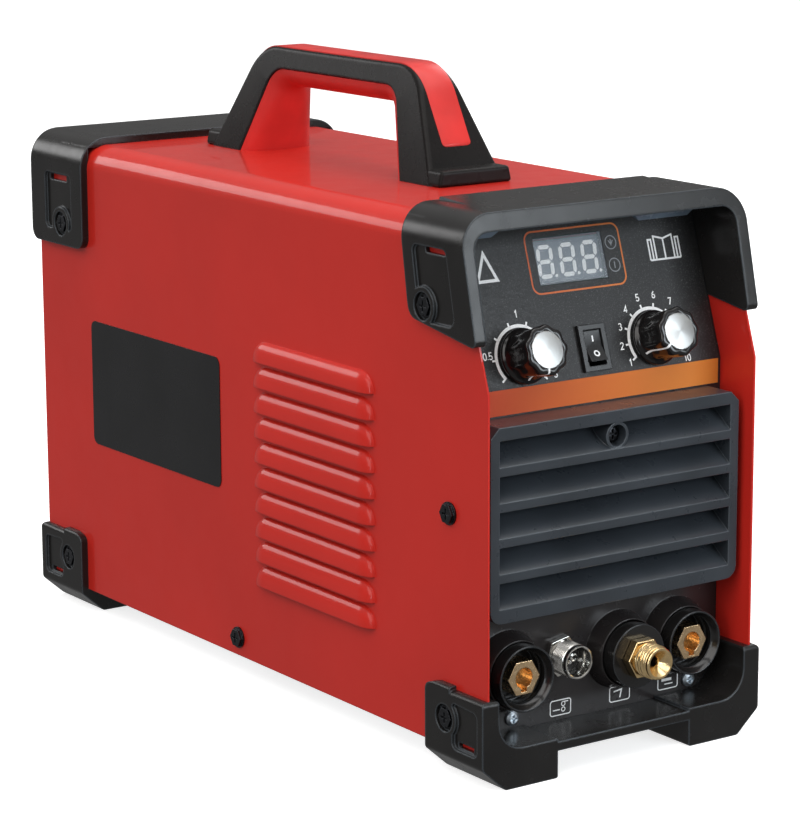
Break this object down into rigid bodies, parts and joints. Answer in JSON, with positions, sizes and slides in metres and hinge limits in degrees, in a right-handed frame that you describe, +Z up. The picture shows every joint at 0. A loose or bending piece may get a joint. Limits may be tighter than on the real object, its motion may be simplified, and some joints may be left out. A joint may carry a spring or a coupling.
{
  "type": "tig welder",
  "caption": "Portable inverter TIG welder: red steel case with louvred sides, black corner bumpers, carrying handle, tilted control panel, air grille and front welding and gas connectors.",
  "frame": {"origin": "on the ground, centred under the machine: the bottom centre of the bounding box, at the underside of the feet", "axes": "+X to the right seen from the front, +Y from the front panel to the rear panel, +Z up"},
  "size_m": [0.158, 0.41, 0.301],
  "materials": {
    "red_paint": "gloss enamel with slight orange peel",
    "zinc_plate": "galvanised sheet",
    "black_paint": "smooth gloss black",
    "label_film": "blank black film",
    "panel_film": "black film with an orange printed window outline and band",
    "grille_plastic": "satin moulded",
    "bumper_plastic": "satin moulded",
    "handle_plastic": "satin moulded",
    "handle_red": "satin moulded",
    "black_screw": "black zinc",
    "bright_screw": "bright zinc",
    "smoked_lens": "clear, slightly smoked",
    "digit_module": "grey face with light grey unlit segments",
    "knob_plastic": "gloss moulded",
    "spun_cap": "spun, radial sheen",
    "steel": "bright turned",
    "switch_plastic": "semi-gloss moulded",
    "rocker_red": "semi-gloss moulded",
    "connector_plastic": "gloss moulded",
    "brass": "turned",
    "nickel": "nickel plated",
    "silver_pin": "silver plated",
    "fan_plastic": "moulded",
    "heatsink_metal": "extruded",
    "circuit_board": "solder mask",
    "capacitor_sleeve": "shrink sleeve",
    "ferrite": "pressed ferrite",
    "copper": "enamelled copper",
    "hose": "clear tube"
  },
  "bodies": {
    "case": {"base_tray": "zinc_plate", "shell_cover": "red_paint", "side_labels": "label_film", "front_panel": "black_paint", "control_overlay": "panel_film", "front_grille": "grille_plastic", "grille_screw": "black_screw", "front_hood": "bumper_plastic", "front_lower_bumper": "bumper_plastic", "rear_upper_bumper": "bumper_plastic", "rear_lower_bumper": "bumper_plastic", "rear_panel": "black_paint", "case_screws": "black_screw", "panel_screws": "bright_screw", "handle_frame": "handle_plastic", "handle_core": "handle_red", "handle_strip": "handle_red", "handle_screws": "bright_screw", "display_lens": "smoked_lens", "digit_display": "digit_module", "current_pot": "steel", "timer_pot": "steel", "mode_switch_frame": "switch_plastic", "negative_socket_body": "connector_plastic", "negative_socket_contact": "brass", "positive_socket_body": "connector_plastic", "positive_socket_contact": "brass", "gas_outlet_flange": "connector_plastic", "gas_outlet_fitting": "brass", "torch_switch_shell": "nickel", "torch_switch_insert": "switch_plastic", "torch_switch_pins": "silver_pin", "fan_frame": "fan_plastic", "fan_guard": "nickel", "heatsinks": "heatsink_metal", "power_modules": "switch_plastic", "power_board": "circuit_board", "capacitors": "capacitor_sleeve", "control_board": "circuit_board", "transformer_core": "ferrite", "transformer_winding": "copper", "output_choke": "copper", "hf_coil": "copper", "gas_valve_body": "brass", "gas_valve_coil": "switch_plastic", "gas_hose": "hose", "gas_inlet": "brass", "power_switch_frame": "switch_plastic", "cable_gland": "switch_plastic", "busbars": "copper"},
    "current_knob_group": {"current_knob": "knob_plastic", "current_knob_cap": "spun_cap", "current_pot_shaft": "steel"},
    "timer_knob_group": {"timer_knob": "knob_plastic", "timer_knob_cap": "spun_cap", "timer_pot_shaft": "steel"},
    "mode_rocker_group": {"mode_switch_rocker": "switch_plastic"},
    "power_rocker_group": {"power_switch_rocker": "rocker_red"},
    "fan_rotor_group": {"fan_rotor": "fan_plastic"},
    "valve_plunger_group": {"gas_valve_plunger": "steel"}
  },
  "joints": [
    {"name": "current_knob_turn", "type": "hinge", "parent": "case", "child": "current_knob_group", "pos_m": [0.037, -0.17, 0.18466], "axis": [0, -0.95, 0.3123], "range_deg": [-265, 5]},
    {"name": "timer_knob_turn", "type": "hinge", "parent": "case", "child": "timer_knob_group", "pos_m": [-0.037, -0.17, 0.18466], "axis": [0, -0.95, 0.3123], "range_deg": [-135, 135]},
    {"name": "mode_rocker_tip", "type": "hinge", "parent": "case", "child": "mode_rocker_group", "pos_m": [0.0022, -0.16864, 0.18368], "axis": [1, 0, 0], "range_deg": [0, 20]},
    {"name": "power_rocker_tip", "type": "hinge", "parent": "case", "child": "power_rocker_group", "pos_m": [-0.034, 0.173, 0.205], "axis": [1, 0, 0], "range_deg": [-20, 0]},
    {"name": "fan_spin", "type": "hinge", "parent": "case", "child": "fan_rotor_group", "pos_m": [0, 0.15, 0.088], "axis": [0, 1, 0], "continuous": true},
    {"name": "valve_plunger_slide", "type": "slide", "parent": "case", "child": "valve_plunger_group", "axis": [0, 0, 1], "range_m": [0, 0.002]}
  ]
}
